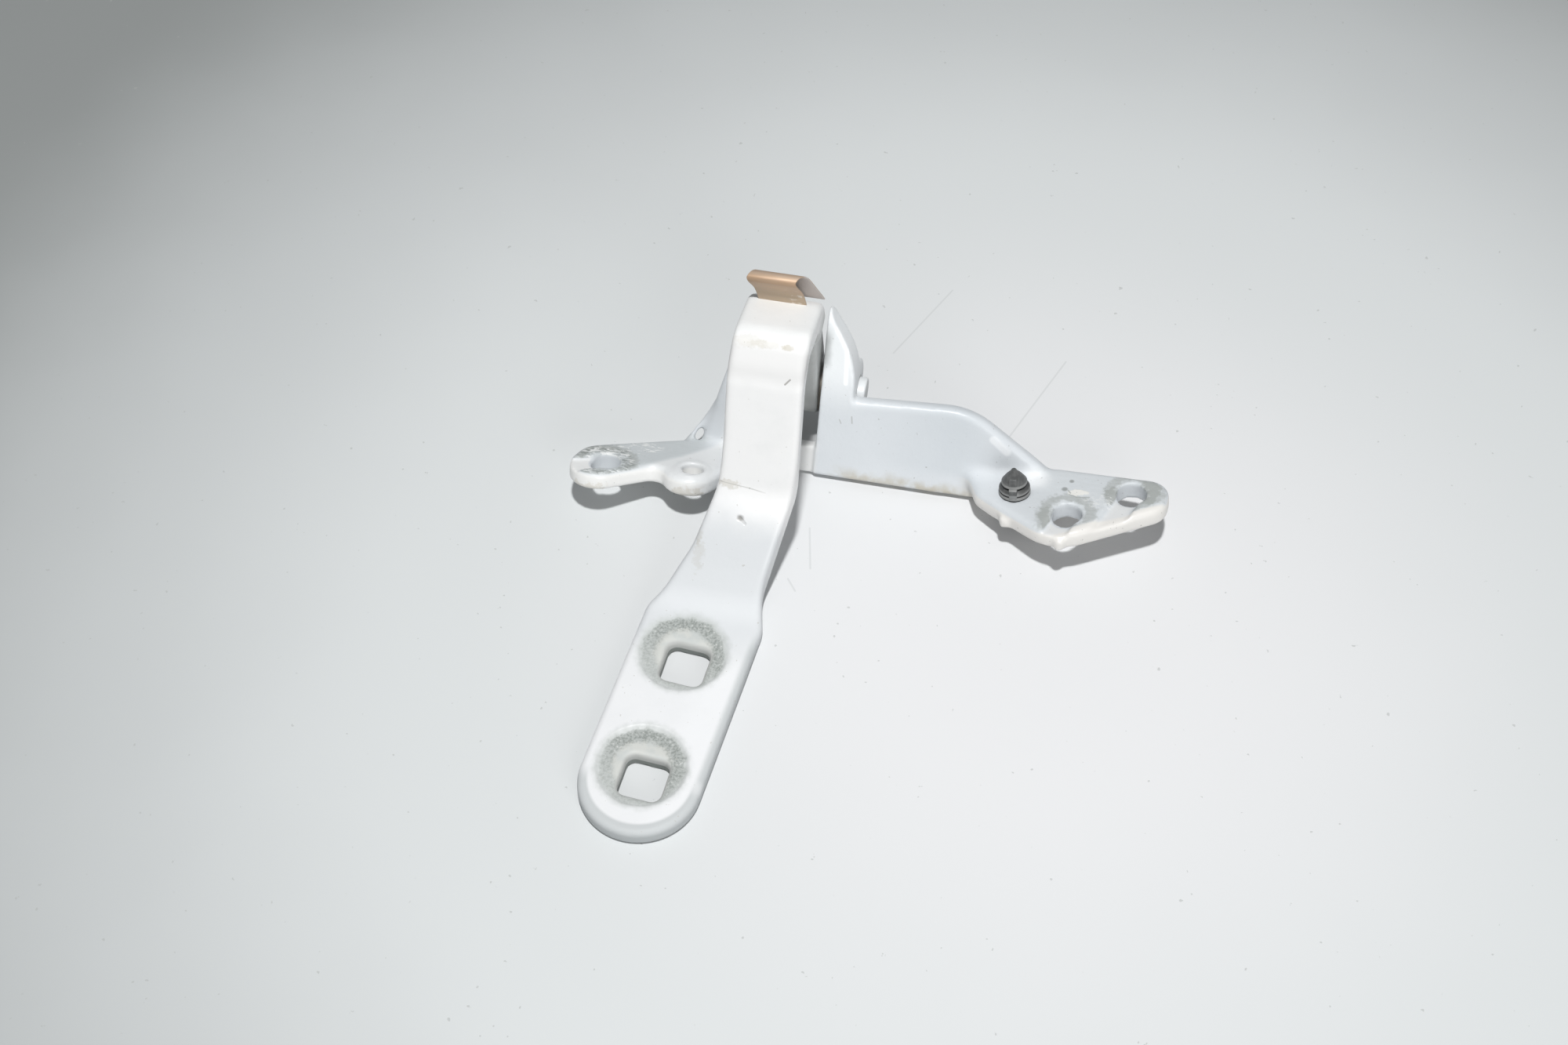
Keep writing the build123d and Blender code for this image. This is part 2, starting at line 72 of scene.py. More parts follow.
class Finish:                                 # one material, built node by node, with all its lengths in mm
    def __init__(self, name, turn=0.0):
        self.material = bpy.data.materials.new(name)
        self.material.use_nodes = True
        self.tree = self.material.node_tree
        self.tree.nodes.clear()
        self.colour = None
        coords = self.node("ShaderNodeTexCoord", out="Object")
        self.place = self.node("ShaderNodeMapping", {"vector_type": "TEXTURE"}, {
            "Vector": coords, "Location": pivot, "Rotation": (turn, 0, 0), "Scale": (mm, mm, mm)})

    def node(self, kind, settings=None, inputs=None, out=0):
        made = self.tree.nodes.new(kind)
        for key, value in (settings or {}).items():
            setattr(made, key, value)
        for key, value in (inputs or {}).items():
            socket = made.inputs[key]
            if isinstance(value, Val):
                self.tree.links.new(value.socket, socket)
            elif socket.type == "RGBA":
                socket.default_value = (*value, 1)
            else:
                socket.default_value = value
        return Val(self, made.outputs[out])

    def vector(self, operation, first, second, out=0):
        return self.node("ShaderNodeVectorMath", {"operation": operation}, {0: first, 1: second}, out)

    def length(self, arrow):
        return self.node("ShaderNodeVectorMath", {"operation": "LENGTH"}, {0: arrow}, "Value")

    def axes(self):
        made = self.tree.nodes.new("ShaderNodeSeparateXYZ")
        self.tree.links.new(self.place.socket, made.inputs[0])
        return [Val(self, made.outputs[i]) for i in range(3)]

    def noise(self, size, detail=3.0, rough=0.5, stretch=(1, 1, 1), warp=0.0):   # size of its blots
        return self.node("ShaderNodeTexNoise", {}, {
            "Vector": self.vector("MULTIPLY", self.place, stretch),
            "Scale": 1.0 / size, "Detail": detail, "Roughness": rough, "Distortion": warp})

    def over(self, value, low, high):         # 0 below low and 1 above high, smooth between
        return self.node("ShaderNodeMapRange", {"interpolation_type": "SMOOTHSTEP"},
                         {"Value": value, "From Min": low, "From Max": high})

    def under(self, value, low, high):        # 1 below low and 0 above high
        return 1.0 - self.over(value, low, high)

    def band(self, value, rise, fall):        # 1 between its two slopes
        return self.over(value, *rise) * self.under(value, *fall)

    def fromPoint(self, centre, squash=(1, 1, 1)):           # distance, counted more along squashed axes
        return self.length(self.vector("MULTIPLY", self.vector("SUBTRACT", self.place, centre), squash))

    def fromPlane(self, centre, axis):        # height above a plane through centre
        return self.vector("DOT_PRODUCT", self.vector("SUBTRACT", self.place, centre), axis, "Value")

    def fromAxis(self, centre, axis):         # distance from a line through centre
        return self.length(self.vector("CROSS_PRODUCT", self.vector("SUBTRACT", self.place, centre), axis))

    def spot(self, centre, size, soft, squash=(1, 1, 1)):    # round patch
        return self.under(self.fromPoint(centre, squash), size - soft, size + soft)

    def blot(self, centre, size, ragged=0.5, squash=(1, 1, 1), grain=2.0):       # patch with a torn edge
        away = self.fromPoint(centre, squash) + (self.noise(grain, 4, 0.6) - 0.5) * (ragged * size * 3)
        return self.under(away, size * 0.6, size * 1.15)

    def stroke(self, start, end, width):      # thin line
        along = Vector(end) - Vector(start)
        away = self.vector("SUBTRACT", self.place, start)
        share = self.vector("DOT_PRODUCT", away, along, "Value")
        share = self.node("ShaderNodeMath", {"operation": "DIVIDE", "use_clamp": True},
                          {0: share, 1: along.length_squared})
        nearest = self.node("ShaderNodeVectorMath", {"operation": "SCALE"}, {0: along, "Scale": share})
        return self.under(self.length(self.vector("SUBTRACT", away, nearest)), width * 0.4, width)

    def mix(self, factor, first, second):
        return self.node("ShaderNodeMix", {"data_type": "RGBA", "clamp_factor": True},
                         {0: factor, 6: first, 7: second}, 2)

    def coat(self, factor, shade):            # lays a colour over what is there
        self.colour = self.mix(factor, self.colour, shade)

    def bump(self, height, depth, normal=None):
        inputs = {"Height": height, "Strength": 1.0, "Distance": depth * mm}
        if normal:
            inputs["Normal"] = normal
        return self.node("ShaderNodeBump", {}, inputs)

    def end(self, **inputs):
        inputs = {key.replace("_", " "): value for key, value in inputs.items()}
        shader = self.node("ShaderNodeBsdfPrincipled", {}, {"Base Color": self.colour, **inputs})
        output = self.tree.nodes.new("ShaderNodeOutputMaterial")
        self.tree.links.new(shader.socket, output.inputs["Surface"])
        return self.material


def toBody(point):                            # a place in the scene, in mm of the bracket's own frame
    x, y, z = (point - pivot) / mm
    return x, y * math.cos(lean) - z * math.sin(lean), y * math.sin(lean) + z * math.cos(lean)


def toRest(point):                            # a place in the scene, in mm from the pivot
    return tuple((point - pivot) / mm)


def inside(place, low, high, blend):          # 1 well inside a box, 0 outside it
    weight = 1.0
    for value, least, most in zip(place, low, high):
        depth = min(value - least, most - value) / blend
        weight *= min(max(depth, 0.0), 1.0)
    return weight


def settle(piece):                            # keep what the modifiers made, and drop them
    bpy.context.view_layer.update()
    shown = piece.evaluated_get(bpy.context.evaluated_depsgraph_get())
    skin = bpy.data.meshes.new_from_object(shown)
    piece.modifiers.clear()
    piece.data = skin
    for polygon in skin.polygons:
        polygon.use_smooth = True


def pieceFrom(name, form):
    mesh = bpy.data.meshes.new(name)
    form.to_mesh(mesh)
    form.free()
    piece = bpy.data.objects.new(name, mesh)
    bpy.context.scene.collection.objects.link(piece)
    return piece


def fitted(name, nodeName, look):             # softened copy of a CAD node, softer still in some places
    form = bmesh.new()
    form.from_mesh(frame["nodes"][nodeName].data)
    bmesh.ops.remove_doubles(form, verts=form.verts, dist=1e-6)
    piece = pieceFrom(name, form)
    remesh = piece.modifiers.new("evenSkin", "REMESH")
    remesh.mode = "VOXEL"
    remesh.voxel_size = look["grain"] * mm
    soften = piece.modifiers.new("softEdges", "SMOOTH")
    soften.factor = 0.5
    soften.iterations = look["softening"]
    settle(piece)
    for label, (toFrame, low, high, blend, softening) in look["places"].items():
        group = piece.vertex_groups.new(name=label)
        for vertex in piece.data.vertices:
            weight = inside(toFrame(vertex.co), low, high, blend)
            if weight > 0:
                group.add([vertex.index], weight, "REPLACE")
        soften = piece.modifiers.new(label, "SMOOTH")
        soften.vertex_group = label
        soften.factor = 0.5
        soften.iterations = softening
    settle(piece)
    piece.vertex_groups.clear()
    return piece


def edgeChain(form, points):                  # points joined by edges, to be extruded or spun
    verts = [form.verts.new(point) for point in points]
    return [form.edges.new(pair) for pair in zip(verts, verts[1:])]


def smoothLine(points, steps):                # points along a smooth curve through a drawing in the YZ plane
    line = bpy.data.curves.new("line", "CURVE")
    line.dimensions = "3D"
    line.resolution_u = steps
    spline = line.splines.new("NURBS")
    spline.points.add(len(points) - 1)
    for point, (y, z) in zip(spline.points, points):
        point.co = (0, y, z, 1)
    spline.order_u = 3
    spline.use_endpoint_u = True
    carrier = bpy.data.objects.new("line", line)
    found = [vertex.co.copy() for vertex in bpy.data.meshes.new_from_object(carrier).vertices]
    bpy.data.objects.remove(carrier)
    return found


def dress(piece, material):
    piece.data.materials.clear()
    piece.data.materials.append(material)


def direction(turn, rise):                    # towards a lamp or the camera, with turn 0 in front
    turn, rise = math.radians(turn), math.radians(rise)
    return Vector((math.sin(turn) * math.cos(rise), -math.cos(turn) * math.cos(rise), math.sin(rise)))


# camera, at the angle and distance of the photograph
view = {"azimuth": 11.0, "elevation": 54.0, "distance": 660.0, "target": (7.1, -51.3, -3.1), "lens": 50.4}
back = direction(view["azimuth"], view["elevation"])
right = Vector((math.cos(math.radians(view["azimuth"])), math.sin(math.radians(view["azimuth"])), 0))
cameraData = bpy.data.cameras.new("camera")
cameraData.lens = view["lens"]
cameraData.sensor_width = 36
cameraData.clip_start = 0.01
camera = bpy.data.objects.new("camera", cameraData)
turned = Matrix((right, back.cross(right), back)).transposed().to_4x4()
camera.matrix_world = Matrix.Translation(pivot + (Vector(view["target"]) + back * view["distance"]) * mm) @ turned
bpy.context.scene.collection.objects.link(camera)
bpy.context.scene.camera = camera
print("camera set")

# pale floor with a painted pool of light, brightest before the hinge, with a few hairline scratches
floorLook = {"size": 6.0, "centre": (90, -60, -19.7), "near": (0.700, 0.706, 0.714),
             "rings": (((40, 190), (0.612, 0.635, 0.638)), ((180, 310), (0.48, 0.50, 0.503)),
                       ((280, 420), (0.267, 0.28, 0.278))),
             "speck": (0.36, 0.37, 0.36), "scratch": (0.45, 0.47, 0.47), "roughness": 0.5,
             "scratches": (((27, 35), (42, 66)), ((61, -12), (83, 42)), ((13, -40), (16, -55)), ((10, -60), (13, -64)))}
floorForm = bmesh.new()
bmesh.ops.create_grid(floorForm, x_segments=1, y_segments=1, size=floorLook["size"] / 2)
floor = pieceFrom("floor", floorForm)
paint = Finish("floorFinish")
away = paint.fromPoint(floorLook["centre"]) + (paint.noise(60, 4) - 0.5) * 22
paint.colour = floorLook["near"]
# painted falloff of light: the floor darkens in rings away from the brightest place
for reach, shade in floorLook["rings"]:
    paint.coat(paint.over(away, *reach), shade)
specks = paint.over(paint.noise(2.4, 2), 0.74, 0.765)
paint.coat(specks * 0.5, floorLook["speck"])
for start, end in floorLook["scratches"]:
    line = paint.stroke((*start, floorLook["centre"][2]), (*end, floorLook["centre"][2]), 0.4)
    paint.coat(line * 0.35, floorLook["scratch"])
dress(floor, paint.end(Roughness=floorLook["roughness"] + specks * 0.2, Specular_IOR_Level=0.2))
print("floor set")

# plain soft light: a small key high over the camera's side, a broad fill from the front, and the world
lights = {"key": {"turn": 11.0, "rise": 77.0, "away": 1.5, "size": 0.09, "level": 0.92},
          "front": {"turn": 30.0, "rise": 20.0, "away": 1.6, "size": 0.9, "level": 0.27}}
worldLight = {"colour": (0.97, 0.985, 1.0), "level": 0.20}
for name, lamp in lights.items():
    toLamp = direction(lamp["turn"], lamp["rise"])
    lampData = bpy.data.lights.new(name, "AREA")
    lampData.shape = "DISK"
    lampData.size = lamp["size"]
    lampData.energy = lamp["level"] * math.pi ** 2 * lamp["away"] ** 2
    lampObject = bpy.data.objects.new(name, lampData)
    lampObject.rotation_euler = toLamp.to_track_quat("Z", "Y").to_euler()
    lampObject.location = pivot + toLamp * lamp["away"]
    bpy.context.scene.collection.objects.link(lampObject)
world = bpy.data.worlds.new("world")
world.use_nodes = True
background = world.node_tree.nodes["Background"].inputs
background["Color"].default_value = (*worldLight["colour"], 1)
background["Strength"].default_value = worldLight["level"]
bpy.context.scene.world = world
bpy.context.scene.view_settings.view_transform = "Standard"
print("lights set")

# painted casting of the bracket, worn round its bolt holes, with painted light and shade laid into its colour
flangeAxis = (-0.134, -0.214, 0.968)
wingHole = (-51.0, -34.0, -18.5)
flangeHoles = ((90.2, -28.9, -15.0), (108.5, -18.4, -10.2))
castLook = {
    "grain": 0.6, "softening": 4, "roughness": 0.36,
    # softer places: their frame, low corner, high corner, blend and rounds of smoothing
    "places": {"fin": (toBody, (8.5, -15, 3), (26, 6, 28), 4.0, 10),
               "wallTop": (toBody, (18, -16, -7), (76, -2, 7), 2.0, 9),
               "earFoot": (toBody, (-31, -28, -23), (-12.5, -3, -4), 4.0, 60),
               "flangeRoot": (toBody, (52, -21, -24), (86, -6, -9), 3.0, 50),
               "flangeStart": (toBody, (50, -29, -25), (67, -6, -11), 3.0, 40),
               "flangeRim": (toBody, (58, -48, -26), (126, -18, -6), 3.0, 6)},
    "tints": {"paint": (0.66, 0.69, 0.715), "paintTwo": (0.60, 0.63, 0.655), "shaded": (0.53, 0.57, 0.60),
              "finLight": (0.84, 0.865, 0.875), "gleam": (0.95, 0.96, 0.97), "litWhite": (0.83, 0.83, 0.815),
              "litCream": (0.735, 0.72, 0.69), "worn": (0.47, 0.505, 0.51), "rubbed": (0.36, 0.38, 0.37),
              "furrow": (0.24, 0.26, 0.25), "burr": (0.78, 0.79, 0.78), "scraped": (0.74, 0.755, 0.75),
              "chip": (0.80, 0.79, 0.75), "grime": (0.40, 0.34, 0.22), "greaseAndShade": (0.20, 0.21, 0.20),
              "speck": (0.26, 0.25, 0.22), "nick": (0.30, 0.30, 0.28)},
    # strokes are start, end and width; spots and blots are centre, size, softness or raggedness, and squash
    "finGleams": (((13.5, -11.6, 26.1), (17.2, -11.5, 19.5), 0.95), ((17.2, -11.5, 19.5), (17.8, -12, 8.5), 0.95)),
    "wallGleam": ((64.8, -12, -3.0), (69.4, -12, -6.6), 1.7),
    "rootGleam": ((79.5, -14.0, -13.6), 3.6, 2.5),
    "washers": ((wingHole, upright, 9.6, 1.7), (flangeHoles[0], flangeAxis, 8.4, 2.2),
                (flangeHoles[1], flangeAxis, 7.9, 2.2)),
    "rubs": (((-58.6, -38.0, -18.6), 3.6, 0.6, (1, 0.8, 1)), ((-54.6, -27.4, -18.6), 3.2, 0.6, (0.5, 1.6, 1)),
             ((84.6, -31.8, -16.5), 3.8, 0.6, (1, 0.7, 0.7)), ((103.4, -20.2, -11.3), 3.2, 0.6, (1, 0.7, 0.7)),
             ((114.6, -18.6, -9.5), 4.6, 0.6, (1, 0.8, 0.8))),
    "scrapes": (((-42.0, -22.6, -18.4), 5.6, 0.4, (0.8, 1.3, 0.5)),
                ((-51.0, -30.0, -18.4), 7.5, 0.3, (0.7, 1.4, 0.5))),
    "chip": ((92.8, -19.4, -12.6), 2.3, 0.5, (0.68, 1.5, 1.0), 1.4),
    "scuff": ((99.5, -23.2, -12.5), 4.6, 0.4, (0.8, 1.2, 1.0)),
    "cuts": (((90.0, -20.4, -13.0), (92.4, -21.6, -13.1), 0.34), ((92.4, -21.6, -13.1), (96.2, -21.4, -12.6), 0.34),
             ((89.6, -18.6, -12.8), (90.4, -19.8, -13.0), 0.34)),
    "dots": (((90.3, -14.4, -11.8), 0.7, 0.3), ((88.5, -18.1, -12.8), 0.9, 0.4), ((65.4, -27.0, -21.6), 0.8, 0.5)),
    "edgeGrime": (((-22.0, -39.0, -24.4), 3.4, 0.8, (0.3, 1, 1)), ((-54.0, -42.5, -24.4), 2.4, 0.8, (0.3, 1, 1))),
    "nicks": (((20.7, -12.0, -2.4), (21.0, -12.0, -4.6), 0.3), ((17.0, -12.0, -4.0), (17.6, -12.0, -5.2), 0.25)),
    "bossEdge": ((-29.8, -23.8, 0), (0.727, -0.687, 0)),
    "flangeEdges": (((83.9, -38.0, 0), (-0.494, -0.869, 0)), ((83.9, -38.0, 0), (0.410, -0.912, 0)))}
tints = castLook["tints"]
paint = Finish("castingPaint", -lean)
sideways, depthways, upwards = paint.axes()
patchy = paint.noise(16, 4)
uneven = patchy - 0.5
streaks = paint.noise(1.8, 5, 0.65, (0.5, 1.4, 1.0), 0.6)
paint.colour = paint.mix(patchy, tints["paint"], tints["paintTwo"])
# painted shade over the right part of the wall, towards the flange
paint.coat(paint.band(sideways, (24, 62), (52, 68)) * paint.over(upwards, -20, -15) * 0.6, tints["shaded"])
# painted light over the fin, and painted shade on its right flank
fin = paint.over(upwards, -5, 14) * paint.band(sideways, (9, 10), (20, 26))
paint.coat(fin * 0.85, tints["finLight"])
paint.coat(fin * paint.over(sideways, 18.0, 20.0) * 0.15, tints["shaded"])
# painted highlights along the fin's ridge, on the wall's arch and in the flange's root
gleams = sum(paint.stroke(*mark) for mark in castLook["finGleams"])
gleams = gleams + paint.stroke(*castLook["wallGleam"]) * 0.6 + paint.spot(*castLook["rootGleam"]) * 0.8
paint.coat(gleams * 0.75, tints["gleam"])
# painted light on the low bridge below the arm
paint.coat(paint.band(sideways, (-14, -10), (9, 12)) * paint.under(upwards, -14, -10) * 0.8, tints["litWhite"])

# wing: front edge lighter, partly cleaner paint and partly a painted highlight on its rounded edge; boss lighter as
# painted light; flat top greyer
boss = paint.over(paint.fromPlane(*castLook["bossEdge"]) + uneven * 3, -1.2, 1.4)
wingSide = paint.under(upwards, -20.2, -19.0) * paint.under(sideways, -24, -16)
paint.coat(wingSide * paint.over(paint.fromAxis(wingHole, upright), 5.0, 5.6), tints["litWhite"])
paint.coat(boss * paint.under(sideways, -20, -12) * 0.45, tints["litWhite"])
wingTop = paint.band(upwards, (-19.5, -18.8), (-17.6, -16.8)) * paint.under(sideways, -26, -20) * (1.0 - boss)

# flange: cream edge round the front, partly cleaner paint and partly a painted highlight on the rounded edge; flat top
# greyer
height = paint.fromPlane(flangeHoles[0], flangeAxis)
flat = paint.over(height, -1.8, -0.9)
for edge in castLook["flangeEdges"]:
    flat = flat * paint.under(paint.fromPlane(*edge) + uneven * 2, -0.5, 0.9)
rim = (1.0 - flat) * paint.over(sideways, 54, 64)
rim = rim * (1.0 - paint.over(upwards, -13, -11) * paint.under(sideways, 80, 96))
for hole in flangeHoles:
    rim = rim * paint.over(paint.fromAxis(hole, flangeAxis), 5.4, 6.2)
paint.coat(rim, tints["litCream"])
flangeTop = paint.band(height, (-1.2, -0.5), (1.5, 3.0)) * paint.over(sideways, 70, 86) * (1.0 - rim)
tops = wingTop + flangeTop
# painted shade on the flat tops of wing and flange, streaked with wear
paint.coat(wingTop * (0.62 + (streaks - 0.5) * 0.5), tints["worn"])
paint.coat(flangeTop * (0.22 + (streaks - 0.5) * 0.5), tints["worn"])

# bare rings under the bolts' washers, and rubbed patches beside them
rubbed = sum(paint.blot(*mark) for mark in castLook["rubs"])
for centre, axis, size, grain in castLook["washers"]:
    away = paint.fromAxis(centre, axis) + (paint.noise(grain, 4, 0.6) - 0.5) * 5.5
    rubbed = rubbed + paint.band(away, (size - 3.4, size - 2.0), (size - 0.4, size + 1.4))
rubbed = rubbed * tops
paint.coat(rubbed * (0.25 + streaks * 0.85), tints["rubbed"])
fine = paint.noise(1.0, 4, 0.65, (0.45, 1.5, 1.0), 0.9)
collar = paint.band(paint.fromAxis(wingHole, upright) + uneven * 5, (4.6, 5.6), (8.6, 10.4)) * tops
paint.coat(collar * paint.under(fine, 0.42, 0.54) * 0.85, tints["furrow"])
paint.coat(collar * paint.over(fine, 0.58, 0.64) * 0.85, tints["burr"])
scraped = paint.over(streaks, 0.52, 0.60) * sum(paint.blot(*mark) for mark in castLook["scrapes"])
paint.coat(scraped * tops * 0.95, tints["scraped"])

# chip, scuffs, grime, grease and specks, with painted shade in the gap beside the arm
chip = paint.blot(*castLook["chip"])
paint.coat(chip * 0.85, tints["chip"])
scuffs = paint.over(paint.noise(0.9, 4, 0.6, (0.5, 1.6, 1.0), 0.8), 0.52, 0.60) * paint.blot(*castLook["scuff"])
paint.coat(scuffs * 0.6, tints["scraped"])
for mark in castLook["cuts"]:
    paint.coat(paint.stroke(*mark) * 0.75, tints["rubbed"])
paint.coat(sum(paint.spot(*mark) for mark in castLook["dots"]) * 0.7, tints["greaseAndShade"])
foot = paint.under(upwards + (paint.noise(7, 4) - 0.5) * 5.0, -24.2, -19.6)
foot = foot * paint.band(sideways, (12.0, 24.0), (52.0, 70.0)) * paint.over(paint.noise(5, 4, 0.6), 0.30, 0.62)
paint.coat(foot * 0.6, tints["grime"])
paint.coat(sum(paint.blot(*mark) for mark in castLook["edgeGrime"]) * 0.3, tints["grime"])
pinRing = paint.band(paint.fromAxis((0, 0, 0), (1, 0, 0)), (5.0, 5.3), (5.7, 6.3)) * paint.over(sideways, 18.5, 20.2)
paint.coat(pinRing * 0.6, tints["greaseAndShade"])
# grease and painted shade on the fin's inner face, in the gap beside the arm
inner = paint.under(sideways + (paint.noise(3.0, 3) - 0.5) * 1.2, 10.9, 13.4) * paint.over(sideways, 8.0, 9.6)
paint.coat(inner * paint.band(upwards, (11.0, 16.0), (22.0, 27.0)) * 0.55, tints["greaseAndShade"])
paint.coat(paint.over(paint.noise(1.1, 2), 0.71, 0.75) * 0.5, tints["speck"])
paint.coat(sum(paint.stroke(*mark) for mark in castLook["nicks"]) * 0.5, tints["nick"])

# the hollows at the root of the flange and the foot of the left ear are duller
hollows = paint.band(sideways, (50, 56), (84, 90)) * paint.over(depthways, -21, -17) * paint.under(upwards, -13.5, -11)
hollows = hollows + (paint.band(sideways, (-30, -26), (-11, -9)) * paint.over(depthways, -19, -15)
                     * paint.under(upwards, -14, -11))
roughness = castLook["roughness"] + hollows * 0.35 + rubbed * 0.25 + tops * 0.12 + uneven * 0.15
normal = paint.bump(paint.noise(2.6, 4, 0.6), 0.09)
normal = paint.bump(paint.noise(0.9, 3, 0.6), 0.02, normal)
normal = paint.bump(streaks * (rubbed + chip), 0.08, normal)
castingPaint = paint.end(Roughness=roughness, Normal=normal, Specular_IOR_Level=0.5)
casting = fitted("bracketCasting", "bracket", castLook)
dress(casting, castingPaint)
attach(casting, "bracket_body")
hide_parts("bracket")
print("bracket made", len(casting.data.polygons))

# painted forging of the arm, bare and speckled round its square holes, with painted light and shade laid into its
# colour
armLook = {
    "grain": 0.6, "softening": 3, "roughness": 0.34,
    "places": {"upper": (toRest, (-30, -84, -22), (30, 24, 74), 4.0, 5),
               "crest": (toRest, (-20, -46, 36), (20, 4, 70), 6.0, 8),
               "bend": (toRest, (-30, -98, -22), (12, -70, 2), 6.0, 24)},
    "tints": {"leg": (0.87, 0.87, 0.865), "bend": (0.68, 0.68, 0.675), "crest": (0.84, 0.85, 0.845),
              "neck": (0.63, 0.65, 0.665), "paddle": (0.745, 0.755, 0.765), "paddleRight": (0.77, 0.78, 0.79),
              "cloud": (0.62, 0.64, 0.64), "side": (0.47, 0.50, 0.51), "edge": (0.46, 0.485, 0.49),
              "dish": (0.47, 0.495, 0.48), "sparkle": (0.72, 0.73, 0.71), "holeWall": (0.47, 0.48, 0.465),
              "dark": (0.20, 0.22, 0.205), "warm": (0.62, 0.615, 0.57), "rust": (0.42, 0.40, 0.34),
              "dirt": (0.44, 0.40, 0.30), "crack": (0.22, 0.21, 0.19), "speck": (0.36, 0.33, 0.28)},
    "dishes": ((-14.5, -95.6, -14.4), (-17.8, -135.0, -14.4)),
    "smears": (((-6.6, -32.4, 55.6), 2.4, 0.5, (0.45, 1, 1), 1.6), ((-1.6, -32.7, 55.6), 1.4, 0.5, (0.25, 1, 1), 1.6)),
    "stain": ((4.5, -32.9, 55.6), 1.1, 0.45, (0.6, 1, 1), 1.4),
    "footDirt": ((-9.6, -52.2, 13.4), 1.5, 0.9, (0.4, 1, 1), 1.6),
    "rust": (((-15.6, -67.0, -3.6), 2.4, 0.8, (1.4, 0.45, 0.45), 1.2),
             ((-16.2, -63.0, 0.0), 1.5, 0.8, (1.2, 0.5, 0.5), 1.2)),
    "nick": ((5.4, -41.1, 49.3), (6.7, -40.2, 50.6), 0.36),
    "cracks": (((-13.6, -51.9, 14.0), (-3.0, -52.4, 13.0), 0.3), ((-3.0, -52.4, 13.0), (1.8, -52.6, 12.2), 0.35)),
    "dimple": ((-4.8, -58.4, 5.6), 0.75, 0.5, (0.8, 1, 1)),
    "dimpleTail": ((-4.8, -58.4, 5.6), (-3.2, -59.6, 4.8), 0.7)}
tints = armLook["tints"]
paint = Finish("forgingPaint")
sideways, depthways, upwards = paint.axes()
patchy = paint.noise(24, 4)
alongArm = depthways + (patchy - 0.5) * 14
# painted light and shade: the paint is lighter on the leg, the crest and the paddle's right side, darker on the neck
# and where the leg bends into the crest
paint.colour = paint.mix(paint.over(alongArm, -65, -51.5), tints["neck"], tints["leg"])
bent = paint.over(upwards, 47.5, 51.5)
crest = bent * paint.over(depthways, -35, -29)
bend = bent * (1.0 - crest)
paint.coat(bend, tints["bend"])
paint.coat(crest, tints["crest"])
across = paint.over(paint.fromPlane((0, -115, 0), (1, -0.06, 0)), -14, -5)
paint.coat(paint.under(alongArm, -102, -84), paint.mix(across, tints["paddle"], tints["paddleRight"]))
paint.coat(paint.over(paint.noise(9, 4), 0.45, 0.75) * 0.12, tints["cloud"])
# painted shade on the paddle's side faces
paint.coat(paint.under(upwards, -16.2, -14.9) * paint.under(depthways, -92, -84), tints["side"])
# painted shade on the rounded edge round the paddle's tip and along its right side
edge = paint.over(paint.fromAxis((-17.3, -138.7, 0), upright), 14.5, 15.7) * paint.under(depthways, -143, -137)
beside = paint.over(paint.fromPlane((-0.2, -126.7, 0), (1, -0.116, 0)), -1.0, 1.1)
beside = beside * paint.band(depthways, (-141, -136), (-92, -82)) * paint.under(upwards, -12.6, -12)
edge = edge + beside
paint.coat(edge * 0.85, tints["edge"])
# painted shade, blotched, on the back leg where the front leg shades it
behind = paint.over(depthways, -24, -17) * paint.under(upwards, 40, 48) * (0.5 + patchy * 0.6)
paint.coat(behind * 0.72, tints["dark"])
# painted shade in the valley where the neck meets the paddle
valley = paint.band(depthways, (-92, -84), (-74, -66)) * paint.under(upwards, 2, 6)
paint.coat(valley * 0.35, tints["neck"])

# round each square hole: a grey dish, a dark sparkling ring and a paler seat
grains = paint.noise(0.75, 4, 0.7)
halo, rings, seats = 0.0, 0.0, 0.0
for centre in armLook["dishes"]:
    away = paint.fromAxis(centre, upright) + (paint.noise(2.6, 4, 0.6) - 0.5) * 3.0
    darker = 0.38 + paint.over(paint.fromPlane(centre, (0.35, 0.8, 0)), -9.0, 6.0) * 0.62
    halo = halo + paint.under(away, 11.8, 15.4)
    rings = rings + paint.band(away, (7.0, 9.4), (11.4, 12.9)) * darker
    seats = seats + paint.under(away, 8.2, 9.6)
low = paint.under(upwards, -13.3, -12.6)
halo, rings = halo * low, rings * low
paint.coat(halo * 0.9, tints["dish"])
paint.coat(paint.over(paint.noise(4.0, 3), 0.36, 0.58) * seats * low * 0.4, tints["warm"])
paint.coat(rings * 0.42, tints["dark"])
paint.coat(rings * paint.under(grains, 0.40, 0.55) * 0.75, tints["dark"])
# the ring's pale grains are painted glints
paint.coat(rings * paint.over(grains, 0.60, 0.70) * 0.8, tints["sparkle"])
# painted shade on the inner walls of the square holes, and a painted shadow along their foot
paint.coat(paint.under(upwards, -15.0, -14.5) * halo, tints["holeWall"])
paint.coat(paint.under(upwards, -17.2, -16.9) * halo, tints["dark"])

